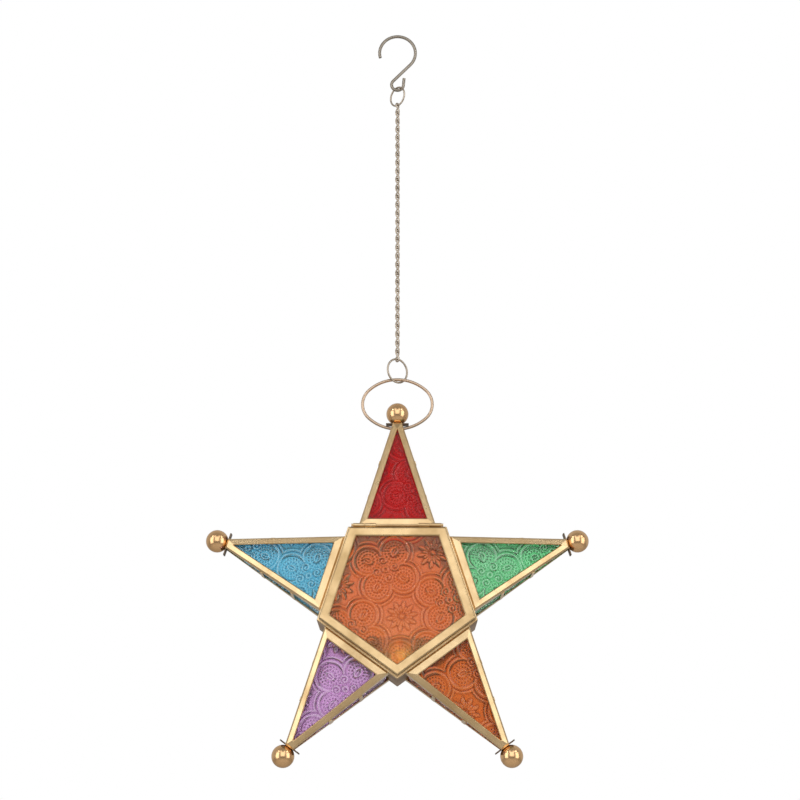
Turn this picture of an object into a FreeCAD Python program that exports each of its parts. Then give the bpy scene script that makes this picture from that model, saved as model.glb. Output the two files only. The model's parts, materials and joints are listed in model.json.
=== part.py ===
import FreeCAD, Part
import math
import os

# A five-pointed star lantern of framed glass that hangs from a hook on a chain.
# Sizes are in mm. The front faces -Y, +X is right, +Z is up and the origin is the inside of the hook's bow.

V = FreeCAD.Vector
ORIGIN = V(0, 0, 0)
X, Y, Z = V(1, 0, 0), V(0, 1, 0), V(0, 0, 1)

# Clearances
SEAT = 0.3  # around each pane of glass
LINK_GAP = 0.25  # between wires that hang in each other
RUN_GAP = 0.05  # radial, hinge pin in its barrels
END_GAP = 0.3  # between neighbouring barrels along the pin

# Sheet metal and glass
SHEET = 0.6
STRIP = 0.8  # heavier strip of the core, the plates and the bracket
GLASS = 2.0

# Star
ARMS = 5
ARM_NAMES = ["top", "right", "lower_right", "lower_left", "left"]
CORE_APOTHEM = 39.0  # centre to the plane on which an arm stands
ARM_TIP = 104.1  # centre to the end of an arm
ARM_BASE_HALF = 22.5
ARM_TIP_HALF = 2.9
BASE_HALF_DEPTH = 23.0
TIP_HALF_DEPTH = 5.5
FLANGE_SHARE = 0.4  # of the half depth that the folded flange covers

# Section of an arm's frame: how far in from the outline, and how far under the face plane
SHOULDER_IN = 0.9
SHOULDER_TOP = 0.35
SHOULDER_FOOT = 1.2
SIDE_BAR = 3.8
BASE_BAR = 5.0
LIP = 0.5
CREST = 0.45  # the bars rise this much towards the window
PANE_UNDER = 1.2  # face plane to the front of the pane
PANE_INSET = 1.6

# Straps over the side panes
STRAP_WIDTH = 2.4
STRAP_THICK = 0.5
STRAP_LAP = 2.0
STRAP_PLACES = [0.3, 0.62]  # shares of the arm's length
SIDE_PANE_TIP = 6.1  # the side panes end this far short of the tip

# Tips
PLATE_WIDTH = 13.5
PLATE_GAP = 0.02  # between a plate and the flanges before and behind it
BEAD_RADIUS = 6.6
BEAD_WALL = 0.7
BEAD_SEAT_RADIUS = 2.5
BEAD_HOLE_RADIUS = 1.6

# Core
RING_BACK = 0.4  # the core's front ring stands this far behind the base of the arms' faces
RING_WIDTH = 5.8
POST_LAP = 3.0  # each post reaches this far behind an arm's base

# Door and back
DOOR_MARGIN = 1.0  # edge of the core's ring to the edge of the door
DOOR_DEPTH = 4.6
DOOR_BAR = 5.4
DOOR_SHOULDER = 0.7
DOOR_REST = 0.3  # closed door to the core's front ring
TAB_LENGTH = 7.0
TAB_REACH = 2.2
TAB_THICK = 0.5
CATCH_LENGTH = 6.0
CATCH_THICK = 0.5
CATCH_HEIGHT = 1.3
CATCH_FOOT = 2.2
CATCH_ALONG = 15.0  # from the middle of a lower side towards the bottom corner

# Hinge
PIN_RADIUS = 0.6
PIN_HEAD_RADIUS = 1.0
PIN_HEAD = 0.6
BARREL_RADIUS = 1.25
BARREL_LENGTH = 6.5
HINGE_HALF = 25.5  # middle to the outer end of the outer barrels
HINGE_ABOVE = 0.25  # door's top edge to the underside of the barrels

# Candle cup
CUP_RADIUS = 19.4  # inside
CUP_WALL = 0.7
CUP_HEIGHT = 9.0
CUP_FLOOR = 33.2  # underside of the cup, below the star's centre
CUP_LIP = 1.0
BRACKET_WIDTH = 8.0
BRACKET_DROP = 9.0

# Handle, rings, chain and hook
HANDLE_WIRE = 1.8
HANDLE_HALF_WIDTH = 20.8
HANDLE_HALF_HEIGHT = 15.2
HANDLE_END_RADIUS = 11.6
HANDLE_BELOW_TIP = 2.2  # end of the arm to the middle of the wire
LOWER_RING_WIRE = 1.2
LOWER_RING_RADIUS = 7.2
LOWER_RING_YAW = 37.0
UPPER_RING_WIRE = 1.1
UPPER_RING_RADIUS = 5.95
UPPER_RING_YAW = -45.0
RING_SPLIT = 3.0  # degrees left open in a bent ring
RING_SPLIT_AT = 50.0
CHAIN_WIRE = 1.0
LINK_PITCH = 5.5
LINK_BEND = 1.25  # middle of the wire, at each end of a link
LINK_TWIST = 45.0  # each end is turned this far, one way at the top, the other at the bottom
CHAIN_RUNS = 6
LINKS_PER_RUN = 5
HOOK_WIRE = 1.9
BOW_RADIUS = 11.2
CURL_RADIUS = 3.7
BOW_TO_CURL = 21.35
BOW_TIP_ANGLE = 196.0
CURL_END_ANGLE = -5.0
CURL_TAIL = 4.6  # straight end of the wire after the curl

# Sizes that follow from the ones above
STEP = 360.0 / ARMS
HALF_STEP = math.radians(STEP / 2)
ARM_SLOPE = (ARM_BASE_HALF - ARM_TIP_HALF) / (ARM_TIP - CORE_APOTHEM)
ARM_SLANT = math.atan(ARM_SLOPE)
DEPTH_SLOPE = (BASE_HALF_DEPTH - TIP_HALF_DEPTH) / (ARM_TIP - CORE_APOTHEM)
RING_FRONT = BASE_HALF_DEPTH - RING_BACK  # half depth over the core's two rings
POST_HALF = RING_FRONT - STRIP
DOOR_APOTHEM = CORE_APOTHEM - DOOR_MARGIN
DOOR_FACE = RING_FRONT + DOOR_REST + DOOR_DEPTH
CENTRE_PANE_FRONT = DOOR_FACE - LIP - SHEET - SEAT
CENTRE_PANE_BACK = CENTRE_PANE_FRONT - GLASS
HINGE_RISE = DOOR_APOTHEM + HINGE_ABOVE + BARREL_RADIUS
HINGE_DEPTH = RING_FRONT + DOOR_REST + BARREL_RADIUS
LINK_HALF = (LINK_PITCH + CHAIN_WIRE + LINK_GAP) / 2


def hung(upper_wire, lower_wire):
    """Height of the middle of a hanging wire above the middle of the wire that carries it."""
    return (upper_wire + lower_wire) / 2 + LINK_GAP


BOW_Z = HOOK_WIRE / 2 - BOW_RADIUS
CURL_Z = BOW_Z - BOW_TO_CURL
UPPER_RING_Z = CURL_Z - CURL_RADIUS + hung(HOOK_WIRE, UPPER_RING_WIRE) - UPPER_RING_RADIUS
FIRST_LINK_Z = UPPER_RING_Z - UPPER_RING_RADIUS + hung(UPPER_RING_WIRE, CHAIN_WIRE) - LINK_HALF
LAST_LINK_Z = FIRST_LINK_Z - LINK_PITCH * (CHAIN_RUNS * LINKS_PER_RUN - 1)
LOWER_RING_Z = LAST_LINK_Z - LINK_HALF + hung(CHAIN_WIRE, LOWER_RING_WIRE) - LOWER_RING_RADIUS
HANDLE_Z = LOWER_RING_Z - LOWER_RING_RADIUS + hung(LOWER_RING_WIRE, HANDLE_WIRE) - HANDLE_HALF_HEIGHT
STAR_Z = HANDLE_Z - HANDLE_HALF_HEIGHT + HANDLE_BELOW_TIP - ARM_TIP


def save(name, solids):
    """One STEP file for each node."""
    shape = solids[0] if len(solids) == 1 else Part.makeCompound(solids)
    shape.exportStep("parts/" + name + ".step")


def flat_face(corners):
    """Plane face through the corners; corners that repeat count once, and fewer than three give no face."""
    kept = [c for i, c in enumerate(corners) if (c - corners[i - 1]).Length > 1e-6]
    if len(kept) < 3:
        return None
    return Part.Face(Part.makePolygon(kept + kept[:1]))


def walls(loops):
    """Plane faces from each loop of corners to the next."""
    faces = []
    for here, there in zip(loops, loops[1:]):
        for i in range(len(here)):
            faces.append(flat_face([here[i - 1], here[i], there[i], there[i - 1]]))
    return [f for f in faces if f]


def closed_solid(faces):
    shell = Part.Shell(faces)
    solid = Part.Solid(shell)
    if solid.Volume < 0:
        solid.reverse()
    return solid


def ring_solid(loops):
    """Ring whose section runs once through the loops and back to the first."""
    return closed_solid(walls(loops + loops[:1]))


def slab(loop, far_loop):
    """Solid between two loops of corners."""
    ends = [flat_face(loop[::-1]), flat_face(far_loop)]
    return closed_solid(walls([loop, far_loop]) + [e for e in ends if e])


def to_back(solid):
    return solid.mirror(ORIGIN, Y)


def to_left(solid):
    return solid.mirror(ORIGIN, X)


def in_star(solid, turn=0.0):
    """A solid drawn about the star's centre, turned clockwise as seen from the front, in its place."""
    placed = solid.copy()
    placed.rotate(ORIGIN, Y, turn)
    placed.translate(V(0, 0, STAR_Z))
    return placed


def box(x0, x1, y0, y1, z0, z1):
    return Part.makeBox(x1 - x0, y1 - y0, z1 - z0, V(x0, y0, z0))


def half_width(s):
    """Half width of the upright arm at the distance s from the star's centre."""
    return ARM_TIP_HALF + (ARM_TIP - s) * ARM_SLOPE


def half_depth(s):
    return TIP_HALF_DEPTH + (ARM_TIP - s) * DEPTH_SLOPE


def arm_loop(side, base, tip, depth):
    """The upright arm's outline, moved in by an inset on each edge; depth gives the half depth at a distance s."""
    shift = side / math.cos(ARM_SLANT)
    low = CORE_APOTHEM + base
    high = min(ARM_TIP - tip, ARM_TIP - (shift - ARM_TIP_HALF) / ARM_SLOPE)
    wide = half_width(low) - shift
    narrow = max(half_width(high) - shift, 0.0)
    corners = [(-wide, low), (wide, low), (narrow, high), (-narrow, high)]
    return [V(q, -depth(s), s) for q, s in corners]


def even_loop(inset, depth):
    """Loop of a frame, which ends level with the top of the tip plate."""
    return arm_loop(inset, inset, inset - STRIP, depth)


def under(drop):
    """Depth of a surface that lies a given drop under the arm's face plane."""
    return lambda s: half_depth(s) - drop


def flange_edge(s):
    return half_depth(s) * (1 - FLANGE_SHARE)


def arm_frame():
    """Folded sheet frame on the front of an arm: flange, shoulder, sloping bar and lip round a triangular window."""
    crest = arm_loop(SIDE_BAR - LIP, BASE_BAR - LIP, SIDE_BAR - LIP, under(-CREST))
    window = arm_loop(SIDE_BAR, BASE_BAR, SIDE_BAR, under(LIP - CREST))
    window_back = arm_loop(SIDE_BAR, BASE_BAR, SIDE_BAR, under(LIP - CREST + SHEET))
    return ring_solid(
        [
            even_loop(0, flange_edge),
            even_loop(0, under(SHOULDER_FOOT)),
            even_loop(SHOULDER_IN, under(SHOULDER_TOP)),
            crest,
            window,
            window_back,
            even_loop(SHOULDER_IN + SHEET / 2, under(SHOULDER_TOP + SHEET)),
            even_loop(SHEET, under(SHOULDER_FOOT + SHEET / 2)),
            even_loop(SHEET, flange_edge),
        ]
    )


def arm_pane():
    """Pane behind the window of an arm's frame."""
    insets = PANE_INSET, PANE_INSET, PANE_INSET
    return slab(arm_loop(*insets, under(PANE_UNDER)), arm_loop(*insets, under(PANE_UNDER + GLASS)))


def wall_loop(inset, low, high, depth):
    """Four corners on a plane parallel to the upright arm's right side, between two distances from the centre."""
    shift = inset / math.cos(ARM_SLANT)
    corners = [(low, -1), (low, 1), (high, 1), (high, -1)]
    return [V(half_width(s) - shift, way * depth(s), s) for s, way in corners]


def side_pane():
    """Pane inside the flanges on the right side of an arm."""
    low = CORE_APOTHEM + SHEET + 2 * SEAT
    high = ARM_TIP - SIDE_PANE_TIP
    inset = SHEET + SEAT
    reach = under(PANE_UNDER + GLASS + SEAT)
    return slab(wall_loop(inset, low, high, reach), wall_loop(inset + GLASS, low, high, reach))


def straps():
    """Straps that tie the front flange to the back flange on the right side of an arm."""
    made = []
    for share in STRAP_PLACES:
        middle = CORE_APOTHEM + share * (ARM_TIP - CORE_APOTHEM)
        reach = flange_edge(middle) + STRAP_LAP
        ends = middle - STRAP_WIDTH / 2, middle + STRAP_WIDTH / 2
        made.append(slab(wall_loop(-STRAP_THICK, *ends, lambda s: reach), wall_loop(0, *ends, lambda s: reach)))
    return made


def tip_plate():
    half = PLATE_WIDTH / 2
    reach = flange_edge(ARM_TIP + STRIP) - PLATE_GAP
    return box(-half, half, -reach, reach, ARM_TIP, ARM_TIP + STRIP)


def bead():
    """Hollow bead with a flat seat round its hole."""
    inner = BEAD_RADIUS - BEAD_WALL
    seat = -math.sqrt(BEAD_RADIUS**2 - BEAD_SEAT_RADIUS**2)
    neck = -math.sqrt(inner**2 - BEAD_HOLE_RADIUS**2)
    profile = [
        Part.Arc(V(BEAD_SEAT_RADIUS, 0, seat), V(BEAD_RADIUS, 0, 0), V(0, 0, BEAD_RADIUS)).toShape(),
        Part.makeLine(V(0, 0, BEAD_RADIUS), V(0, 0, inner)),
        Part.Arc(V(0, 0, inner), V(inner, 0, 0), V(BEAD_HOLE_RADIUS, 0, neck)).toShape(),
        Part.makeLine(V(BEAD_HOLE_RADIUS, 0, neck), V(BEAD_HOLE_RADIUS, 0, seat)),
        Part.makeLine(V(BEAD_HOLE_RADIUS, 0, seat), V(BEAD_SEAT_RADIUS, 0, seat)),
    ]
    solid = Part.Face(Part.Wire(profile)).revolve(ORIGIN, Z, 360)
    solid.translate(V(0, 0, ARM_TIP + STRIP - seat))
    return solid


def pentagon(apothem, y):
    """Corners of the upright pentagon whose sides face the arms."""
    reach = apothem / math.cos(HALF_STEP)
    turns = [HALF_STEP * (2 * i + 1) for i in range(ARMS)]
    return [V(reach * math.sin(t), y, reach * math.cos(t)) for t in turns]


def core_ring():
    """Flat front ring of the core."""
    inner = CORE_APOTHEM - RING_WIDTH
    front, back = -RING_FRONT, STRIP - RING_FRONT
    return ring_solid(
        [
            pentagon(CORE_APOTHEM, front),
            pentagon(CORE_APOTHEM, back),
            pentagon(inner, back),
            pentagon(inner, front),
        ]
    )


def core_post():
    """Folded corner post between the two rings, drawn with its corner upwards."""
    leg = CORE_APOTHEM * math.tan(HALF_STEP) - ARM_BASE_HALF + POST_LAP
    along = V(math.cos(HALF_STEP), 0, -math.sin(HALF_STEP))
    inward = V(-math.sin(HALF_STEP), 0, -math.cos(HALF_STEP))
    corner = V(0, -POST_HALF, CORE_APOTHEM / math.cos(HALF_STEP))
    fold = V(0, -POST_HALF, (CORE_APOTHEM - STRIP) / math.cos(HALF_STEP))
    end = corner + along * leg
    right = [corner, end, end + inward * STRIP, fold]
    left = [V(-p.x, p.y, p.z) for p in right[2:0:-1]]
    return flat_face(right + left).extrude(V(0, 2 * POST_HALF, 0))


def centre_frame(rest):
    """Folded pentagon frame; its flange ends at the half depth given by rest."""
    outer = DOOR_APOTHEM
    crest = outer - DOOR_BAR + LIP
    return ring_solid(
        [
            pentagon(outer, -rest),
            pentagon(outer, DOOR_SHOULDER - DOOR_FACE),
            pentagon(outer - DOOR_SHOULDER, -DOOR_FACE),
            pentagon(crest, -DOOR_FACE),
            pentagon(outer - DOOR_BAR, LIP - DOOR_FACE),
            pentagon(outer - DOOR_BAR, LIP + SHEET - DOOR_FACE),
            pentagon(outer - DOOR_SHOULDER - SHEET / 2, SHEET - DOOR_FACE),
            pentagon(outer - SHEET, DOOR_SHOULDER + SHEET / 2 - DOOR_FACE),
            pentagon(outer - SHEET, -rest),
        ]
    )


def centre_pane():
    apothem = DOOR_APOTHEM - SHEET - SEAT
    return slab(pentagon(apothem, -CENTRE_PANE_FRONT), pentagon(apothem, -CENTRE_PANE_BACK))


def pane_tabs():
    """Tabs on the inside of a pentagon frame's flange that keep its pane in, one on each side."""
    top = DOOR_APOTHEM - SHEET
    front = SEAT - CENTRE_PANE_BACK
    half = TAB_LENGTH / 2
    tab = box(-half, half, front, front + TAB_THICK, top - TAB_REACH, top)
    return [in_star(tab, STEP * i) for i in range(ARMS)]


def catch():
    """Spring tongue on the core's front ring that grips the inside of the door's flange, drawn on the top side."""
    outer = DOOR_APOTHEM - SHEET - SEAT
    ends = CATCH_ALONG - CATCH_LENGTH / 2, CATCH_ALONG + CATCH_LENGTH / 2
    tongue = box(*ends, -RING_FRONT - CATCH_HEIGHT, -RING_FRONT, outer - CATCH_THICK, outer)
    foot = box(*ends, -RING_FRONT - CATCH_THICK, -RING_FRONT, outer - CATCH_FOOT, outer)
    return tongue.fuse(foot).removeSplitter()


def along_x(radius, x0, x1):
    """Cylinder on the hinge line."""
    return Part.makeCylinder(radius, x1 - x0, V(x0, -HINGE_DEPTH, HINGE_RISE), X)


def barrel(x0, x1, foot):
    """Hinge barrel with the foot that carries it."""
    body = along_x(BARREL_RADIUS, x0, x1).fuse(foot)
    return body.cut(along_x(PIN_RADIUS + RUN_GAP, x0, x1)).removeSplitter().Solids[0]


def fixed_barrel():
    """Right outer barrel, which stands on the core's front ring."""
    x0, x1 = HINGE_HALF - BARREL_LENGTH, HINGE_HALF
    bore = PIN_RADIUS + RUN_GAP
    top = min(HINGE_RISE + bore, CORE_APOTHEM)
    foot = box(x0, x1, bore - HINGE_DEPTH, -RING_FRONT, HINGE_RISE - BARREL_RADIUS, top)
    return barrel(x0, x1, foot)


def door_barrel():
    """Right inner barrel, which stands on the door's top edge."""
    x1 = HINGE_HALF - BARREL_LENGTH - END_GAP
    x0 = x1 - BARREL_LENGTH
    bore = PIN_RADIUS + RUN_GAP
    foot = box(x0, x1, -bore - HINGE_DEPTH, bore - HINGE_DEPTH, DOOR_APOTHEM, HINGE_RISE - bore)
    return barrel(x0, x1, foot)


def hinge_pin():
    """Pin with a peened head past each outer barrel."""
    end = HINGE_HALF + END_GAP
    pin = along_x(PIN_RADIUS, -end, end)
    heads = [along_x(PIN_HEAD_RADIUS, end, end + PIN_HEAD), along_x(PIN_HEAD_RADIUS, -end - PIN_HEAD, -end)]
    return pin.multiFuse(heads).removeSplitter().Solids[0]


def candle_cup():
    """Pressed cup with a rolled-out rim for a small candle."""
    outer = CUP_RADIUS + CUP_WALL
    rim = CUP_HEIGHT - CUP_WALL
    profile = [
        V(0, 0, 0),
        V(outer, 0, 0),
        V(outer, 0, rim),
        V(outer + CUP_LIP, 0, rim),
        V(outer + CUP_LIP, 0, CUP_HEIGHT),
        V(CUP_RADIUS, 0, CUP_HEIGHT),
        V(CUP_RADIUS, 0, CUP_WALL),
        V(0, 0, CUP_WALL),
    ]
    cup = flat_face(profile).revolve(ORIGIN, Z, 360)
    cup.translate(V(0, 0, -CUP_FLOOR))
    return cup


def cup_bracket():
    """Strip from ring to ring under the cup, its ends bent down against the rings."""
    half = BRACKET_WIDTH / 2
    top = -CUP_FLOOR
    strip = box(-half, half, -POST_HALF, POST_HALF, top - STRIP, top)
    foot = box(-half, half, -POST_HALF, STRIP - POST_HALF, top - BRACKET_DROP, top)
    return strip.multiFuse([foot, to_back(foot)]).removeSplitter().Solids[0]


def wire_solid(start, heading, thickness, runs):
    """Round wire from start along heading. A run is a length, or the centre, axis and angle of a bend."""
    disc = Part.Face(Part.Wire(Part.Circle(start, heading, thickness / 2).toShape()))
    pieces = []
    for run in runs:
        if isinstance(run, tuple):
            centre, axis, angle = run
            pieces.append(disc.revolve(centre, axis, angle))
            disc = disc.copy()
            disc.rotate(centre, axis, angle)
            heading = FreeCAD.Rotation(axis, angle).multVec(heading)
        else:
            pieces.append(disc.extrude(heading * run))
            disc = disc.translated(heading * run)
    if len(pieces) == 1:
        return pieces[0]
    return pieces[0].multiFuse(pieces[1:]).removeSplitter().Solids[0]


def handle():
    """Oval ring of four arcs through the top of the star."""
    ends = HANDLE_HALF_WIDTH - HANDLE_END_RADIUS
    rise = HANDLE_HALF_HEIGHT - HANDLE_END_RADIUS
    broad = (ends**2 + HANDLE_HALF_HEIGHT**2 - HANDLE_END_RADIUS**2) / (2 * rise)
    sweep = math.degrees(math.atan2(ends, broad - HANDLE_HALF_HEIGHT))
    top = V(0, 0, HANDLE_Z + HANDLE_HALF_HEIGHT)
    upper = V(0, 0, HANDLE_Z + broad - HANDLE_HALF_HEIGHT)
    lower = V(0, 0, HANDLE_Z + HANDLE_HALF_HEIGHT - broad)
    right, left = V(ends, 0, HANDLE_Z), V(-ends, 0, HANDLE_Z)
    side = 180 - 2 * sweep
    runs = [(lower, Y, sweep), (right, Y, side), (upper, Y, 2 * sweep), (left, Y, side), (lower, Y, sweep)]
    return wire_solid(top, X, HANDLE_WIRE, runs)


def bent_ring(radius, wire, yaw, height):
    """Split ring of bent wire in an upright plane at the given yaw."""
    start = math.radians(RING_SPLIT_AT)
    first = V(radius * math.cos(start), 0, radius * math.sin(start))
    heading = V(-math.sin(start), 0, math.cos(start))
    ring = wire_solid(first, heading, wire, [(ORIGIN, -Y, 360 - RING_SPLIT)])
    ring.rotate(ORIGIN, Z, yaw)
    ring.translate(V(0, 0, height))
    return ring


def chain_link():
    """Twisted link about its own centre: two half-round ends joined by two strands that bend across and back."""
    straight = LINK_HALF - LINK_BEND
    twist = math.radians(LINK_TWIST)
    over = V(math.cos(twist), math.sin(twist), 0)
    beneath = V(-math.cos(twist), math.sin(twist), 0)
    shift = (beneath - over) * LINK_BEND
    aside = shift * (1 / shift.Length)
    turn = 2 * math.atan(shift.Length / (2 * straight))
    bend = straight / math.sin(turn)
    turn = math.degrees(turn)
    hinge = Z.cross(aside)
    start = over * LINK_BEND + Z * straight
    foot = beneath * LINK_BEND - Z * straight
    far_foot = beneath * -LINK_BEND - Z * straight
    far_start = over * -LINK_BEND + Z * straight
    across = aside * bend
    down = [(start + across, -hinge, turn), (foot - across, hinge, turn)]
    base = [(Z * -straight, Z.cross(beneath), 180)]
    up = [(far_foot + across, hinge, turn), (far_start - across, -hinge, turn)]
    head = [(Z * straight, Z.cross(over), 180)]
    return wire_solid(start, -Z, CHAIN_WIRE, down + base + up + head)


def chain_run(number):
    """Links of one run of the chain, from the top."""
    links = []
    for i in range(LINKS_PER_RUN):
        link = chain_link()
        link.translate(V(0, 0, FIRST_LINK_Z - LINK_PITCH * (number * LINKS_PER_RUN + i)))
        links.append(link)
    return links


def hook():
    """S-shaped hook: an open bow, a slanting shank, a small curl that carries the upper ring, and a straight end."""
    bow, curl = V(0, 0, BOW_Z), V(0, 0, CURL_Z)
    lean = math.degrees(math.acos((BOW_RADIUS + CURL_RADIUS) / BOW_TO_CURL))
    shank = math.sqrt(BOW_TO_CURL**2 - (BOW_RADIUS + CURL_RADIUS) ** 2)
    tip = math.radians(BOW_TIP_ANGLE)
    start = bow + V(math.cos(tip), 0, math.sin(tip)) * BOW_RADIUS
    heading = V(math.sin(tip), 0, -math.cos(tip))
    leave = lean - 90
    enter = leave + 180
    runs = [(bow, Y, BOW_TIP_ANGLE - leave), shank, (curl, -Y, 360 + CURL_END_ANGLE - enter), CURL_TAIL]
    return wire_solid(start, heading, HOOK_WIRE, runs)


def build_arms():
    frame, pane = arm_frame(), arm_pane()
    sides = [side_pane(), to_left(side_pane())]
    for i, name in enumerate(ARM_NAMES):
        save("front_frame_" + name, [in_star(frame, STEP * i)])
        save("back_frame_" + name, [in_star(to_back(frame), STEP * i)])
        save("front_pane_" + name, [in_star(pane, STEP * i)])
        save("back_pane_" + name, [in_star(to_back(pane), STEP * i)])
        save("side_panes_" + name, [in_star(side, STEP * i) for side in sides])
    ties = straps() + [to_left(strap) for strap in straps()]
    save("side_straps", [in_star(tie, STEP * i) for i in range(ARMS) for tie in ties])
    save("tip_plates", [in_star(tip_plate(), STEP * i) for i in range(ARMS)])
    save("tip_beads", [in_star(bead(), STEP * i) for i in range(ARMS)])


def build_core():
    save("core_ring_front", [in_star(core_ring())])
    save("core_ring_back", [in_star(to_back(core_ring()))])
    save("core_posts", [in_star(core_post(), STEP * (i + 0.5)) for i in range(ARMS)])
    save("centre_frame_back", [in_star(to_back(centre_frame(RING_FRONT)))])
    save("centre_pane_back", [in_star(to_back(centre_pane()))])
    save("pane_tabs_back", [in_star(to_back(tab.translated(V(0, 0, -STAR_Z)))) for tab in pane_tabs()])
    save("door_catches", [in_star(catch(), 2 * STEP), in_star(to_left(catch()), 3 * STEP)])
    save("hinge_barrels_fixed", [in_star(fixed_barrel()), in_star(to_left(fixed_barrel()))])
    save("hinge_pin", [in_star(hinge_pin())])
    save("candle_cup", [in_star(candle_cup())])
    save("cup_bracket", [in_star(cup_bracket())])


def build_door():
    save("door_frame", [in_star(centre_frame(RING_FRONT + DOOR_REST))])
    save("door_pane", [in_star(centre_pane())])
    save("door_tabs", pane_tabs())
    save("door_barrels", [in_star(door_barrel()), in_star(to_left(door_barrel()))])


def build_hanger():
    save("hook", [hook()])
    save("upper_ring", [bent_ring(UPPER_RING_RADIUS, UPPER_RING_WIRE, UPPER_RING_YAW, UPPER_RING_Z)])
    for number in range(CHAIN_RUNS):
        save("chain_" + str(number + 1), chain_run(number))
    save("lower_ring", [bent_ring(LOWER_RING_RADIUS, LOWER_RING_WIRE, LOWER_RING_YAW, LOWER_RING_Z)])
    save("handle", [handle()])


os.makedirs("parts", exist_ok=True)
build_arms()
build_core()
build_door()
build_hanger()
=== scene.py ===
import json
import math

import bpy
import numpy as np
from mathutils import Euler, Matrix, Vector


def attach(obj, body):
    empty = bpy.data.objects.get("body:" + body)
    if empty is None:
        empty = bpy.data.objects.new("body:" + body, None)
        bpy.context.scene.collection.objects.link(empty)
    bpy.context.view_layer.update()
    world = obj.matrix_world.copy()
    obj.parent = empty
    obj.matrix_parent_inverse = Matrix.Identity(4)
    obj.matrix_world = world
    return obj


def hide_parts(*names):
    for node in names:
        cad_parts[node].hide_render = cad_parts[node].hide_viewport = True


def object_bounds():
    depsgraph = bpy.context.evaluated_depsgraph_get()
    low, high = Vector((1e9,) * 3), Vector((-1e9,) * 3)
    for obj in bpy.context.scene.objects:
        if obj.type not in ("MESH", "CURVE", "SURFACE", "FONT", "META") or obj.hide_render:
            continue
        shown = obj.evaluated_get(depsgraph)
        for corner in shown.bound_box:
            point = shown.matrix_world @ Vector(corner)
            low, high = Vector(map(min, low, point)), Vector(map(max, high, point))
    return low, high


# A star lantern of pressed coloured glass in folded brass frames, hung from a hook on a twisted chain.
# Lengths are in metres, apart from the pattern's, which are in mm. The front faces -Y, +X is right and +Z
# is up.

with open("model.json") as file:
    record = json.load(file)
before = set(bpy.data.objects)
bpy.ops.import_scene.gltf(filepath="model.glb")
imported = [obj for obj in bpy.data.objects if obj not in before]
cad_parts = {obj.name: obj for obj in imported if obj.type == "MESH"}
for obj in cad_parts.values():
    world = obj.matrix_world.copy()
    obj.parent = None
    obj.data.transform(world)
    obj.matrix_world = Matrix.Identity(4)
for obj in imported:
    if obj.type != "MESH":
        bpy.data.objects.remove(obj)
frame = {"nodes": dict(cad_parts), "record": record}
cad_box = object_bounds()
nodes = frame["nodes"]

MM = 0.001
ARM_NAMES = ["top", "right", "lower_right", "lower_left", "left"]
X, Y, Z = np.eye(3)

# Camera, as the photograph was taken: its distance, drop and offset are from the middle of the star. The
# lens and the sensor are in mm, and the pitch in degrees
LENS = 84.97
SENSOR = 36.0
CAMERA_DISTANCE = 1.0938
CAMERA_DROP = 0.1558
CAMERA_ASIDE = 0.00155
CAMERA_PITCH = 14.14

# Medallions of the pressed pattern, in mm on the glass
PITCH = 40.0
LOBE_REACH = 11.2
LOBE_RADIUS = 8.2
HUB_RADIUS = 9.0
HUB_RING = 1.3
RIM = 0.8  # half-width of the ridge on a medallion's outline
OUTER_RIM = 0.55  # and of the lower one that runs round it
OUTER_RIM_SHARE = 0.8
RIM_GAP = 2.4
RIDGE = 0.6
RIDGE_HEIGHT = 0.6
DOT_PITCH = 1.75
DOT_DEPTH = 0.3
DOTS_INSIDE = (1.2, 2.0)  # from the outline, where the dots begin and where they are at their full depth
DOTS_FROM = (2.0, 4.0)  # the same, from the middle
SCROLL_REACH = 5.1
SCROLL_RADIUS = 2.9
SCROLL_GAP = 1.9
SCROLL_FADE = 0.5
LEAF_START = 8.2
LEAF_END = 14.4
LEAF_HALF = 1.6
LEAF_FADE = 0.3
LEAF_RIB = 0.4
LEAF_RIB_SHARE = 0.8
LEAF_MARGIN = (0.6, 1.2)  # plain strip round a leaf, and where the dots are back
INNER_SHARE = 0.9  # height of leaves and scrolls beside the rims

# Rosettes of the pattern, in mm
PETALS = 10
ROSETTE_LONG = 9.0
ROSETTE_SHORT = 6.0
ROSETTE_EYE = 1.0
PETAL_START = 1.6
PETAL_HALF = 1.15
SHORT_PETAL_HALF = 0.85 * PETAL_HALF
PETAL_SKEW = 1.5  # puts a petal's widest place beyond its middle
PETAL_RISE = 0.1  # share of its length over which a petal rises
UNDER_PETAL = 0.4  # share of the lower row's height that shows through the upper one

# Panes: marks on the glass and the grid. Lengths are in mm unless MM is named
NEARBY = 0.9  # a crest or hollow is told by the mean height at this distance
NEARBY_WAYS = 8
FULL_STAND = 0.2  # height above or below that mean at which the painted highlight or the painted shade is full
BAR_SHADE_REACH = 8.0  # how far below a bar the glass is darker, as painted shade of the bar
GLOW_MIDDLE = (1.3, -36.0)  # painted reflection of the brass cup, a yellower patch on the door glass that also glows, from the middle of the star
GLOW_HALF = (6.5, 4.4)
GLOW_CORE = 0.85
GLOW_FRINGE = 0.24  # weaker share that spreads wider
GLOW_SPREAD = 12.0
GLASS_STEP = 0.3 * MM
SIDE_GLASS_STEP = 0.5 * MM
LEAST_HALF = 0.01 * MM  # of a row at a pane's tip
ON_AXIS = 0.01 * MM  # a corner this near to a pane's axis is on both of its edges
EDGE_PLAIN = 1.0
EDGE_FULL = 2.4
LOOKS_OUT = 0.2  # least cosine between a face that looks outward and that direction

# Where a medallion of the pattern falls on each front pane, in mm from the middle of the star, and its turn
# in degrees
FRONT_PATTERN = {
    "top": (10.4, 61.4, 15.0),
    "right": (53.1, 11.7, 23.0),
    "lower_right": (11.5, -57.6, 27.0),
    "lower_left": (-29.4, -53.2, -39.0),
    "left": (-50.8, 11.1, -26.0),
    "door": (-6.6, 13.5, -26.0),
}

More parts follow.
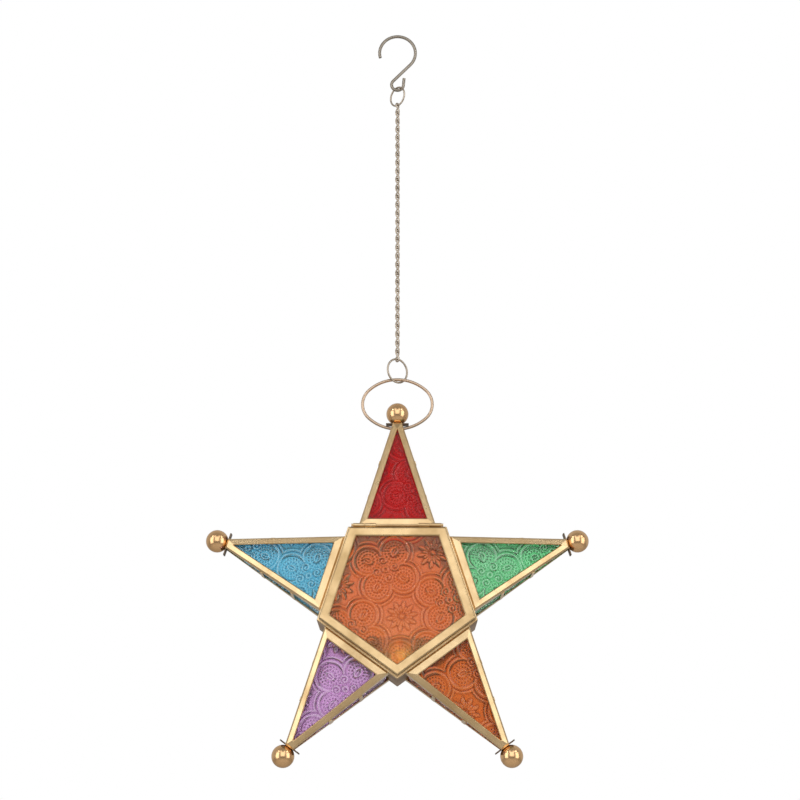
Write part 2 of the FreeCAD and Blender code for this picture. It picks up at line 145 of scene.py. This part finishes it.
# The same for the back, from the front's mirrored spot: a shift for each next arm, a drop and a turn
BACK_SHIFT = 9.0
BACK_DROP = 7.0
BACK_TURN = 31.0
BACK_CENTRE_PATTERN = (5.0, -3.0, 21.0)

# And on the side panes, from a pane's own middle, with the left ones turned about
SIDE_SHIFT = 3.0  # for each next arm
SIDE_PATTERN = (6.0, 8.0, 20.0)

# Nodes whose finish differs from the rest of their slot. The darker brass on the door frame, the core posts
# and the tip plates is painted shade
OWN_FINISH = {
    "handle": "brass_wire",
    "core_posts": "brass_post_shade",
    "door_frame": "brass_door_shade",
    "tip_plates": "brass_plate_shade",
    "hook": "antique_dark",
}

# Tones of each glass: its painted highlight on the crests, the glass between, and its painted shade in the
# hollows and under a bar. Then the shares of the crests' painted highlight, of the crests' gloss, and of the
# painted shade under a bar
GLASS = {
    "glass_red": ((0.95, 0.06, 0.06), (0.78, 0.003, 0.004), (0.27, 0.002, 0.003), 0.28, 0.14, 0.35),
    "glass_green": ((0.90, 1.0, 0.92), (0.36, 0.96, 0.53), (0.015, 0.1, 0.03), 0.75, 0.85, 0.6),
    "glass_amber": ((1.0, 0.66, 0.33), (0.97, 0.34, 0.08), (0.1, 0.01, 0.001), 0.5, 0.35, 0.55),
    "glass_purple": ((1.0, 0.94, 1.0), (0.93, 0.59, 0.96), (0.09, 0.025, 0.09), 0.8, 0.9, 0.6),
    "glass_blue": ((0.82, 0.95, 1.0), (0.29, 0.81, 1.0), (0.01, 0.09, 0.2), 0.7, 0.85, 0.5),
    "glass_orange": ((1.0, 0.66, 0.38), (1.0, 0.39, 0.14), (0.15, 0.015, 0.003), 0.4, 0.2, 0.15),
}

# Shares in the glass: of patches nearer to the crests' tone, and of the hollows' painted shade that the
# cup's painted reflection takes off. Then the hollows' painted shade and the crests' gloss, each away from a
# bar and how much more it is under one, in the bar's painted shade
DRIFT_SHARE = 0.25
GLOW_LIFT = 0.5
HOLLOW_SHADE_SHARE = 0.7
HOLLOW_SHADE_MORE = 0.5
GLOSS_SHARE = 0.6
GLOSS_MORE = 0.6
# Tone and glow of the cup's painted reflection
GLOW_TONE = (1.0, 0.72, 0.22, 1)
GLOW_LIGHT = (1.0, 0.50, 0.10, 1)
GLOW_STRENGTH = 0.3
BLACK = (0, 0, 0, 1)
WHITE = (1, 1, 1, 1)

# Each brass: its pale and its deep tone, its roughness from and to, the depth of its grain in mm, and the
# share of specks in its tone
BRASS = {
    "brass_frame": ((0.88, 0.65, 0.37), (0.58, 0.38, 0.17), 0.22, 0.42, 0.03, 0.3),
    # Darker copy of the frame's brass, painted shade on the door frame
    "brass_door_shade": ((0.78, 0.56, 0.30), (0.48, 0.31, 0.13), 0.22, 0.42, 0.03, 0.3),
    # Dark dull brass, painted shade on the tip plates
    "brass_plate_shade": ((0.24, 0.18, 0.13), (0.15, 0.11, 0.08), 0.4, 0.6, 0.01, 0.3),
    # Darker dull brass, painted shade on the core posts
    "brass_post_shade": ((0.46, 0.31, 0.18), (0.30, 0.19, 0.10), 0.4, 0.6, 0.03, 0.3),
    "brass_wire": ((0.70, 0.52, 0.38), (0.56, 0.41, 0.28), 0.25, 0.4, 0.004, 0.1),
    "brass_bead": ((0.96, 0.61, 0.32), (0.78, 0.46, 0.20), 0.15, 0.28, 0.004, 0.3),
    "brass_cup": ((0.98, 0.78, 0.36), (0.90, 0.66, 0.26), 0.22, 0.36, 0.01, 0.3),
    "antique_brass": ((0.62, 0.53, 0.43), (0.46, 0.38, 0.29), 0.28, 0.45, 0.006, 0.1),
    "antique_dark": ((0.42, 0.37, 0.31), (0.29, 0.25, 0.20), 0.28, 0.45, 0.006, 0.1),
}

# Shares of patches and of grain in the brass's gloss, and the strength of its bump
CLOUD_SHARE = 0.55
GRAIN_SHARE = 0.45
GRAIN_STRENGTH = 0.6

# Edges of the folded sheet
WELD = 0.002 * MM
EASE = 0.5 * MM
EASE_SEGMENTS = 3
EASE_ANGLE = 25.0

# Softboxes: place from the middle of the star, width and height, and power in watts
LAMPS = {
    "left_box": ((-1.1, -0.75, 0.1), (0.8, 1.2), 4.5),
    "right_box": ((1.1, -0.75, 0.1), (0.8, 1.2), 4.5),
    "front_box": ((0.0, -1.85, 0.6), (1.5, 1.6), 8.2),
    "high_left_box": ((-0.63, -1.29, 1.39), (0.5, 0.6), 0.8),
    "high_right_box": ((0.63, -1.29, 1.39), (0.5, 0.6), 0.8),
    "left_spot": ((-0.94, -0.66, 0.96), (0.2, 0.2), 0.8),
    "right_spot": ((0.94, -0.66, 0.96), (0.2, 0.2), 0.8),
}

# Surround, where white is 1: what lights matt surfaces, what metal mirrors of the room behind the camera
# above and below the lantern, and what shows through glass beside the backdrop
AMBIENT = 0.45
ROOM = 0.32
LOW_ROOM = 0.17
SHADE = 0.10
HORIZON = (-0.35, 0.0)  # heights of a direction between which the low room turns to the room
BEHIND = (-0.35, 0.35)  # the same along +Y, where metal starts to mirror the white
MIRRORED_WHITE = 0.25
BACKDROP_Y = 0.985  # direction of the middle of the backdrop, as the camera looks
BACKDROP_Z = 0.174
BACKDROP_EDGE = (0.22, 0.7)

FLOOR_HALF = 2.5
FLOOR_DROP = 0.8
FLOOR_DARK = (0.58, 0.56, 0.53, 1)
FLOOR_PALE = (0.64, 0.62, 0.59, 1)
FLOOR_LIFT = 0.6  # makes the floor paler to the camera alone


class Socket:
    """An output socket of a shader. Operators on it add Math nodes, and node() adds any other node."""

    def __init__(self, tree, out=None):
        self.tree = tree
        self.out = out

    def node(self, kind, settings=None, sockets=None, output=0):
        """Adds a node, sets its settings, then gives its sockets values or links."""
        made = self.tree.nodes.new("ShaderNode" + kind)
        for key, value in (settings or {}).items():
            setattr(made, key, value)
        for key, value in (sockets or {}).items():
            if isinstance(value, Socket):
                self.tree.links.new(value.out, made.inputs[key])
            else:
                made.inputs[key].default_value = value
        return Socket(self.tree, made.outputs[output])

    def math(self, operation, first, second=0.0):
        return self.node("Math", {"operation": operation}, {0: first, 1: second})

    def __add__(self, other):
        return self.math("ADD", self, other)

    def __sub__(self, other):
        return self.math("SUBTRACT", self, other)

    def __rsub__(self, other):
        return self.math("SUBTRACT", other, self)

    def __mul__(self, other):
        return self.math("MULTIPLY", self, other)

    __radd__ = __add__
    __rmul__ = __mul__

    def larger(self, other):
        return self.math("MAXIMUM", self, other)

    def spread(self, low, high, to_low=0.0, to_high=1.0):
        """Maps low..high to to_low..to_high, with smooth ends."""
        values = {"Value": self, "From Min": low, "From Max": high, "To Min": to_low, "To Max": to_high}
        return self.node("MapRange", {"interpolation_type": "SMOOTHSTEP"}, values)

    def between(self, first, second):
        """Colour from first to second as this value goes from 0 to 1."""
        sockets = {"Factor": self, 6: first, 7: second}
        return self.node("Mix", {"data_type": "RGBA"}, sockets, output=2)


class Finish:
    """A material with one Principled shader on Object coordinates."""

    def __init__(self, name):
        self.material = bpy.data.materials.new(name)
        self.material.use_nodes = True
        self.tree = self.material.node_tree
        self.shader = self.tree.nodes["Principled BSDF"]
        self.start = Socket(self.tree)
        self.place = self.start.node("TexCoord", output="Object")

    def set(self, **values):
        """Constants and links on the shader's own sockets; an underscore in a name stands for a space."""
        for name, value in values.items():
            socket = self.shader.inputs[name.replace("_", " ")]
            if isinstance(value, Socket):
                self.tree.links.new(value.out, socket)
            else:
                socket.default_value = value

    def noise(self, scale, detail=3.0, roughness=0.5, stretch=(1, 1, 1)):
        """Noise from 0 to 1, with about one patch in each 1 / scale metres."""
        stretched = {"Vector": self.place, "Scale": stretch}
        where = self.start.node("Mapping", {"vector_type": "POINT"}, stretched)
        sockets = {"Vector": where, "Scale": scale, "Detail": detail, "Roughness": roughness}
        return self.start.node("TexNoise", {"normalize": True}, sockets)

    def mark(self, name):
        """A value that the mesh holds at each point."""
        return self.start.node("Attribute", {"attribute_name": name}, output="Fac")

    def bump(self, height, distance, strength):
        sockets = {"Height": height, "Distance": distance, "Strength": strength}
        self.set(Normal=self.start.node("Bump", {}, sockets))


def brass(name, pale, deep, smooth, rough, grain_depth, speckle):
    """Brass with cloudy patches and specks of a deeper tone, and gloss that follows patches and grain."""
    finish = Finish(name)
    cloud = finish.noise(scale=55.0, detail=4.0, roughness=0.6).spread(0.3, 0.75)
    grain = finish.noise(scale=900.0, detail=2.0, roughness=0.7)
    speck = finish.noise(scale=260.0, detail=3.0, roughness=0.65).spread(0.58, 0.8)
    tone = cloud * (1 - speckle) + speck * speckle
    finish.set(Base_Color=tone.between((*pale, 1), (*deep, 1)), Metallic=1.0)
    finish.set(Roughness=smooth + (rough - smooth) * (cloud * CLOUD_SHARE + grain * GRAIN_SHARE))
    finish.bump(grain * (1 - speckle) + speck * speckle, grain_depth * MM, GRAIN_STRENGTH)
    return finish.material


def pressed_glass(name, clear, deep, dark, highlight_share, gloss, bar_shade_share):
    """Coloured glass with painted light: highlights on crests, shade in hollows and under bars, and a cup
    reflection.
    """
    finish = Finish(name)
    drift = finish.noise(scale=28.0, detail=2.0, roughness=0.5).spread(0.3, 0.7)
    ripple = finish.noise(scale=420.0, detail=2.0, roughness=0.5)
    crest = finish.mark("crest")
    hollow = finish.mark("hollow")
    glow = finish.mark("glow")
    bar_shade = finish.mark("bar_shade")
    waver = finish.noise(scale=330.0, detail=2.0, roughness=0.6, stretch=(1.6, 1, 0.5))
    # Painted reflection of the cup, uneven
    shine = glow * waver.spread(0.35, 0.62, 0.45, 1.0)
    # Painted highlight: the crests take the clearer tone
    body = (crest * highlight_share + drift * DRIFT_SHARE).between((*deep, 1), (*clear, 1))
    lit = shine.between(body, GLOW_TONE)
    # Painted shade in the hollows, deeper under a bar and lighter in the cup's painted reflection
    shade_amount = hollow * (1 - glow * GLOW_LIFT) * (bar_shade * HOLLOW_SHADE_MORE + HOLLOW_SHADE_SHARE)
    shaded = shade_amount.between(lit, (*dark, 1))
    # Painted shade of the bars above
    finish.set(Base_Color=(bar_shade * bar_shade_share).between(shaded, (*dark, 1)))
    finish.set(Roughness=0.14 + drift * 0.06, Transmission_Weight=0.85, IOR=1.45, Specular_IOR_Level=0.1)
    coat = crest * (bar_shade * GLOSS_MORE + GLOSS_SHARE) * gloss
    finish.set(Coat_Weight=coat, Coat_Roughness=0.1, Coat_IOR=1.6)
    # The cup's painted reflection also glows, though no lamp is there
    finish.set(Emission_Color=shine.between(BLACK, GLOW_LIGHT), Emission_Strength=GLOW_STRENGTH)
    finish.bump(ripple, 0.05 * MM, strength=0.4)
    return finish.material


def make_finishes():
    """One material for each slot of the record, and others for the nodes that differ from their slot."""
    panes = {slot: pressed_glass(slot, *look) for slot, look in GLASS.items()}
    metals = {name: brass(name, *look) for name, look in BRASS.items()}
    return panes | metals


def mesh_of(node):
    """Corner points and triangles of a CAD node."""
    mesh = nodes[node].data
    points = np.empty(len(mesh.vertices) * 3, dtype=np.float64)
    mesh.vertices.foreach_get("co", points)
    mesh.calc_loop_triangles()
    triangles = np.empty(len(mesh.loop_triangles) * 3, dtype=np.int32)
    mesh.loop_triangles.foreach_get("vertices", triangles)
    return points.reshape(-1, 3), triangles.reshape(-1, 3)


def distinct(points):
    """The points, each once."""
    return np.unique(np.round(points, 7), axis=0)


def unit(vector):
    return vector / np.linalg.norm(vector)


def flat_side(points, triangles, outward):
    """Normal and corners of the largest plane face that looks outward."""
    a, b, c = (points[triangles[:, i]] for i in range(3))
    area = np.cross(b - a, c - a)
    size = np.linalg.norm(area, axis=1)
    facing = np.round(area / np.maximum(size, 1e-15)[:, None], 2)
    seen = (facing @ outward > LOOKS_OUT) & (size > 0)
    _, which = np.unique(facing[seen], axis=0, return_inverse=True)
    best = np.bincount(which.ravel(), weights=size[seen]).argmax()
    chosen = np.flatnonzero(seen)[which.ravel() == best]
    normal = unit(area[chosen].sum(axis=0))
    return normal, distinct(points[triangles[chosen]].reshape(-1, 3))


def smooth_step(value, low, high):
    t = np.clip((value - low) / (high - low), 0, 1)
    return t * t * (3 - 2 * t)


def ridge(distance, width=RIDGE):
    """Rounded ridge along the line where the distance is zero."""
    return np.exp(-((distance / width) ** 2))


def medallion(a, b):
    """Four-lobed medallion: two ridges round pitted lobes, a leaf in each lobe, a scroll between each two.

    Folding the plane on the lobes' axes leaves one lobe. The ridges follow the outline of the lobes' circles
    joined to a round hub. The pits lie on circles round the middle of the lobe, one pitch apart both ways.
    """
    along = np.maximum(np.abs(a), np.abs(b))
    aside = np.minimum(np.abs(a), np.abs(b))
    from_hub = np.hypot(a, b)
    from_lobe = np.hypot(along - LOBE_REACH, aside)
    outline = np.minimum(from_lobe - LOBE_RADIUS, from_hub - HUB_RADIUS)
    rims = ridge(outline, RIM) + OUTER_RIM_SHARE * ridge(outline - RIM_GAP, OUTER_RIM)
    inside = smooth_step(-outline, *DOTS_INSIDE)
    corner = SCROLL_REACH * math.sqrt(0.5)
    diagonal = np.hypot(np.abs(a) - corner, np.abs(b) - corner)
    heading = np.arctan2(np.abs(b) - corner, np.abs(a) - corner)
    in_scroll = smooth_step(SCROLL_RADIUS - diagonal, 0, SCROLL_FADE)
    winding = math.tau * diagonal / SCROLL_GAP - heading * np.sign(a * b)
    scroll = in_scroll * (0.5 + 0.5 * np.sin(winding))
    way = np.clip((along - LEAF_START) / (LEAF_END - LEAF_START), 0, 1)
    leaf_edge = aside - LEAF_HALF * np.sin(math.pi * way)
    past_start = smooth_step(along - LEAF_START, -LEAF_FADE, LEAF_FADE)
    in_leaf = smooth_step(LEAF_END - along, -LEAF_FADE, LEAF_FADE) * past_start
    leaf = in_leaf * (ridge(leaf_edge) + LEAF_RIB_SHARE * ridge(aside, LEAF_RIB))
    on_leaf = in_leaf * smooth_step(-leaf_edge, -LEAF_MARGIN[1], -LEAF_MARGIN[0])
    rings = np.round(from_lobe / DOT_PITCH)
    turns = np.round(math.tau * rings) * np.arctan2(aside, along - LOBE_REACH)
    dots = (0.5 + 0.5 * np.cos(math.tau * from_lobe / DOT_PITCH)) * (0.5 + 0.5 * np.cos(turns))
    plain = np.maximum(on_leaf, in_scroll)
    dotted = inside * (1 - plain) * smooth_step(along, *DOTS_FROM)
    hub = ridge(from_hub - HUB_RING)
    raised = rims + hub + INNER_SHARE * leaf * (1 - in_scroll) + INNER_SHARE * scroll
    return RIDGE_HEIGHT * raised - DOT_DEPTH * dotted * dots


def rosette(a, b):
    """Rosette of a long row of petals and a short row on top of it, half a petal on, round an eye.

    A petal is a rounded bump across its axis: the root of 1 - (aside / half)**2. Its half-width is
    bulge * sin(pi * way**skew), where way goes from 0 to 1 along it, so that it is widest beyond its middle.
    """
    radius = np.hypot(a, b)
    angle = np.arctan2(b, a)
    height = ridge(radius, ROSETTE_EYE)
    share = math.tau / PETALS
    for reach, turn, bulge in ((ROSETTE_LONG, 0.0, PETAL_HALF), (ROSETTE_SHORT, 0.5, SHORT_PETAL_HALF)):
        folded = ((angle / share + turn + 0.5) % 1.0 - 0.5) * share
        along = radius * np.cos(folded)
        aside = radius * np.sin(folded)
        way = np.clip((along - PETAL_START) / (reach - PETAL_START), 0, 1)
        half = bulge * np.sin(math.pi * way**PETAL_SKEW) + 1e-6
        petal = np.sqrt(np.maximum(1 - (aside / half) ** 2, 0)) * smooth_step(way, 0, PETAL_RISE)
        height = np.where(petal > 0, np.maximum(petal, UNDER_PETAL * height), height)
    return RIDGE_HEIGHT * height


def pressed_pattern(across, up, layout):
    """Height of the pattern: medallions on a square lattice, and a rosette in the middle of each cell."""
    middle_x, middle_z, turn = layout
    turn = math.radians(turn)
    a = (across - middle_x) * math.cos(turn) + (up - middle_z) * math.sin(turn)
    b = (up - middle_z) * math.cos(turn) - (across - middle_x) * math.sin(turn)
    near_a = a - PITCH * np.round(a / PITCH)
    near_b = b - PITCH * np.round(b / PITCH)
    cell_a = a - PITCH * (np.floor(a / PITCH) + 0.5)
    cell_b = b - PITCH * (np.floor(b / PITCH) + 0.5)
    return medallion(near_a, near_b) + rosette(cell_a, cell_b)


def new_object(name, points, faces, smooth_count, marks):
    """Mesh object at the origin; its first faces are smooth, and marks gives a value at each point."""
    mesh = bpy.data.meshes.new(name)
    mesh.from_pydata(points.tolist(), [], faces)
    for mark, values in marks.items():
        layer = mesh.attributes.new(mark, "FLOAT", "POINT")
        layer.data.foreach_set("value", values.astype(np.float32).ravel())
    smooth = np.zeros(len(mesh.polygons), dtype=bool)
    smooth[:smooth_count] = True
    mesh.polygons.foreach_set("use_smooth", smooth)
    mesh.update()
    made = bpy.data.objects.new(name, mesh)
    bpy.context.scene.collection.objects.link(made)
    return made


def mean_nearby(flat_x, flat_z, layout):
    """Mean height of the pattern at points all round, a short way off."""
    ways = np.arange(NEARBY_WAYS) * math.tau / NEARBY_WAYS
    steps = NEARBY * np.stack([np.cos(ways), np.sin(ways)], axis=1)
    return np.mean([pressed_pattern(flat_x + dx, flat_z + dz, layout) for dx, dz in steps], axis=0)


def cup_glow(flat_x, flat_z):
    """Share of the cup's painted reflection, a yellower tone that glows: a round core in a weaker, wider
    fringe.
    """
    across = (flat_x - GLOW_MIDDLE[0]) / GLOW_HALF[0]
    up = (flat_z - GLOW_MIDDLE[1]) / GLOW_HALF[1]
    patch = across**2 + up**2
    return GLOW_CORE * np.exp(-patch) + GLOW_FRINGE * np.exp(-patch / GLOW_SPREAD)


def closed_rows(loops, columns):
    """Quads between neighbouring rows of closed loops, the outer face's first, with a cap at each end."""
    rows, count = loops.shape[:2]
    ring = np.arange(count)
    after = np.roll(ring, -1)
    low = (np.arange(rows - 1) * count)[:, None]
    quads = np.stack([low + ring, low + after, low + count + after, low + count + ring], axis=2)
    face_quads = quads[:, : columns - 1].reshape(-1, 4)
    rim_quads = quads[:, columns - 1 :].reshape(-1, 4)
    caps = [ring[::-1].tolist(), (ring + (rows - 1) * count).tolist()]
    return face_quads.tolist() + rim_quads.tolist() + caps, len(face_quads)


def pane(name, points, triangles, outward, upward, step, layout, from_star):
    """Pane with the pressed pattern on its outer face.

    The outer face is a grid: rows go up the pane, columns run from its left edge to its right edge, and the
    pattern lifts each point along the normal. Each row is closed round the back, and both ends are capped.
    from_star lays the pattern out from the middle of the star, as on the front and back panes, which alone
    have a painted highlight on the crests and a painted shade under a bar. On other panes it goes from the
    pane's own middle.
    """
    normal, corners = flat_side(points, triangles, outward)
    _, inner = flat_side(points, triangles, -normal)
    through = inner.mean(axis=0) - corners.mean(axis=0)
    up = unit(upward - normal * (upward @ normal))
    right = np.cross(up, normal)
    middle = corners.mean(axis=0)
    heights = (corners - middle) @ up
    sides = (corners - middle) @ right
    sides = sides - (sides.max() + sides.min()) / 2
    middle = middle + right * ((corners - middle) @ right - sides).mean()
    order = np.argsort(heights)
    left_chain = [i for i in order if sides[i] < ON_AXIS]
    right_chain = [i for i in order if sides[i] > -ON_AXIS]
    breaks = np.unique(np.round(heights, 6))
    spans = [np.linspace(a, b, max(2, int((b - a) / step) + 2)) for a, b in zip(breaks, breaks[1:])]
    rows = np.unique(np.concatenate(spans))
    left = np.interp(rows, heights[left_chain], sides[left_chain])
    wide = np.interp(rows, heights[right_chain], sides[right_chain])
    left = np.minimum(left, -LEAST_HALF)[:, None]
    wide = np.maximum(wide, LEAST_HALF)[:, None]
    columns = int((sides.max() - sides.min()) / step) + 2
    across = left + (wide - left) * np.linspace(0, 1, columns)
    upright = rows[:, None] + 0 * across
    plane = middle + up * upright[:, :, None] + right * across[:, :, None]
    if from_star:
        flat_x = (plane @ X - star @ X) / MM
        flat_z = (plane @ Z - star @ Z) / MM
    else:
        flat_x = across / MM
        flat_z = upright / MM
    height = pressed_pattern(flat_x, flat_z, layout)
    gaps = [gap / MM for gap in (across - left, wide - across, rows[-1] - upright, upright - rows[0])]
    shown = smooth_step(np.min(gaps, axis=0), EDGE_PLAIN, EDGE_FULL)
    front = plane + normal * (height * shown * MM)[:, :, None]
    stand = (height - mean_nearby(flat_x, flat_z, layout)) * shown / FULL_STAND
    # Painted shade of the bars above: darker near each edge whose outside looks up
    leans = [max(way @ Z, 0) for way in (-right, right, up, -up)]
    shades = [lean * (1 - smooth_step(gap, 0, BAR_SHADE_REACH)) for lean, gap in zip(leans, gaps)]
    # Marks for painted light: highlight on crests, shade in hollows and under bars, the cup's reflection on
    # the door
    shares = {
        "crest": np.clip(stand, 0, 1) * from_star,
        "hollow": np.clip(-stand, 0, 1),
        "glow": cup_glow(flat_x, flat_z) * (name == "door_glass"),
        "bar_shade": np.max(shades, axis=0) * from_star,
    }
    behind = np.zeros((len(rows), 2))
    marks = {mark: np.concatenate([share, behind], axis=1) for mark, share in shares.items()}
    loops = np.concatenate([front, plane[:, -1:] + through, plane[:, :1] + through], axis=1)
    faces, smooth_count = closed_rows(loops, columns)
    return new_object(name, loops.reshape(-1, 3), faces, smooth_count, marks)


def slot_of(node):
    return next(part["material_slot"] for part in frame["record"]["subparts"] if part["node"] == node)


def body_of(node):
    return next(body for body, held in frame["record"]["behaviour"]["bodies"].items() if node in held)


def put(piece, node):
    """The piece stands for a CAD node: same body, same slot."""
    slot = slot_of(node)
    piece.data.materials.append(finishes[slot])
    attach(piece, body_of(node))
    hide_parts(node)


def join(name, parts):
    """One object from several, its meshes one after another."""
    first = parts[0]
    chosen = {"selected_objects": parts, "selected_editable_objects": parts}
    with bpy.context.temp_override(active_object=first, object=first, **chosen):
        bpy.ops.object.join()
    first.name = name
    return first


def add_panes():
    """Front, back and side panes of the arms, and the two centre panes."""
    for i, name in enumerate(ARM_NAMES):
        turn = i * math.tau / len(ARM_NAMES)
        radial = X * math.sin(turn) + Z * math.cos(turn)
        tangent = X * math.cos(turn) - Z * math.sin(turn)
        layout = FRONT_PATTERN[name]
        for side, outward in (("front", -Y), ("back", Y)):
            node = side + "_pane_" + name
            if side == "front":
                spot = layout
            else:
                spot = (-layout[0] + BACK_SHIFT * i, layout[1] - BACK_DROP, layout[2] + BACK_TURN)
            put(pane(node + "_glass", *mesh_of(node), outward, radial, GLASS_STEP, spot, True), node)
        node = "side_panes_" + name
        points, triangles = mesh_of(node)
        halves = []
        for way, label in ((1, "right"), (-1, "left")):
            mine = triangles[((points[triangles].mean(axis=1) - star) @ tangent) * way > 0]
            shift, rise, turned = (way * value for value in SIDE_PATTERN)
            spot = (SIDE_SHIFT * i + shift, rise, turned)
            halves.append(pane(label, points, mine, tangent * way, radial, SIDE_GLASS_STEP, spot, False))
        put(join(node + "_glass", halves), node)
    door = pane("door_glass", *mesh_of("door_pane"), -Y, Z, GLASS_STEP, FRONT_PATTERN["door"], True)
    put(door, "door_pane")
    back = pane("back_glass", *mesh_of("centre_pane_back"), Y, Z, GLASS_STEP, BACK_CENTRE_PATTERN, True)
    put(back, "centre_pane_back")


def dress_metal():
    """Finishes on the CAD nodes, with the sharp edges of the folded sheet eased."""
    for part in frame["record"]["subparts"]:
        item = nodes[part["node"]]
        item.data.materials.clear()
        item.data.materials.append(finishes[OWN_FINISH.get(part["node"], part["material_slot"])])
        if part["material_slot"] == "brass_frame" and part["node"] != "handle":
            weld = item.modifiers.new("weld", "WELD")
            weld.merge_threshold = WELD
            ease = item.modifiers.new("ease", "BEVEL")
            ease.width = EASE
            ease.segments = EASE_SEGMENTS
            ease.limit_method = "ANGLE"
            ease.angle_limit = math.radians(EASE_ANGLE)
            ease.harden_normals = True


def add_camera():
    """Camera below the star's middle, tilted up."""
    data = bpy.data.cameras.new("camera")
    data.sensor_width = SENSOR
    data.lens = LENS
    camera = bpy.data.objects.new("camera", data)
    camera.location = star + np.array([CAMERA_ASIDE, -CAMERA_DISTANCE, -CAMERA_DROP])
    camera.rotation_euler = Euler((math.radians(90 + CAMERA_PITCH), 0, 0))
    bpy.context.scene.collection.objects.link(camera)
    bpy.context.scene.camera = camera


def softbox(name, place, size, power):
    """Rectangular lamp that looks at the middle of the star."""
    data = bpy.data.lights.new(name, "AREA")
    data.shape = "RECTANGLE"
    data.size, data.size_y = size
    data.energy = power
    lamp = bpy.data.objects.new(name, data)
    lamp.location = place
    lamp.rotation_euler = (Vector(star) - Vector(place)).to_track_quat("-Z", "Y").to_euler()
    bpy.context.scene.collection.objects.link(lamp)


def add_light():
    """Softboxes left and right, a broad one over the camera, four weak ones high up, and the surround.

    The surround is white to the camera. Glass shows white round the backdrop and shade beside it, and metal
    mirrors a dim room, with some white from behind the lantern.
    """
    for name, (place, size, power) in LAMPS.items():
        softbox(name, star + np.array(place), size, power)
    world = bpy.data.worlds.new("surround")
    bpy.context.scene.world = world
    world.use_nodes = True
    start = Socket(world.node_tree)
    background = world.node_tree.nodes["Background"]
    seen = start.node("LightPath", output="Is Camera Ray")
    through = start.node("LightPath", output="Is Transmission Ray")
    mirrored = start.node("LightPath", output="Is Glossy Ray")
    direction = start.node("TexCoord", output="Generated")
    ahead = start.node("SeparateXYZ", {}, {0: direction}, output=1)
    back = ahead.spread(*BEHIND)
    above = start.node("SeparateXYZ", {}, {0: direction}, output=2)
    backdrop = (ahead * BACKDROP_Y + above * BACKDROP_Z).spread(*BACKDROP_EDGE)
    white = seen.larger(through * backdrop).larger(mirrored * back * MIRRORED_WHITE)
    room = above.spread(*HORIZON, LOW_ROOM, ROOM)
    dim = mirrored * (room - AMBIENT) + through * (SHADE - AMBIENT) + AMBIENT
    strength = dim + white * (1 - dim)
    world.node_tree.links.new(strength.out, background.inputs["Strength"])
    background.inputs["Color"].default_value = WHITE


def add_floor():
    """Plain pale floor, well under the lantern."""
    level = cad_box[0][2] - FLOOR_DROP
    mesh = bpy.data.meshes.new("floor")
    corners = [(x * FLOOR_HALF, y * FLOOR_HALF, level) for x, y in ((-1, -1), (1, -1), (1, 1), (-1, 1))]
    mesh.from_pydata(corners, [], [(0, 1, 2, 3)])
    floor = bpy.data.objects.new("floor", mesh)
    bpy.context.scene.collection.objects.link(floor)
    finish = Finish("floor_paint")
    patch = finish.noise(scale=3.0, detail=2.0)
    finish.set(Base_Color=patch.between(FLOOR_DARK, FLOOR_PALE), Roughness=0.9)
    seen = finish.start.node("LightPath", output="Is Camera Ray")
    finish.set(Emission_Color=seen.between(BLACK, WHITE), Emission_Strength=FLOOR_LIFT)
    floor.data.materials.append(finish.material)


star = distinct(mesh_of("core_ring_front")[0]).mean(axis=0) * (X + Z)
finishes = make_finishes()
dress_metal()
add_panes()
add_camera()
add_light()
add_floor()
bpy.context.scene.view_settings.view_transform = "Standard"
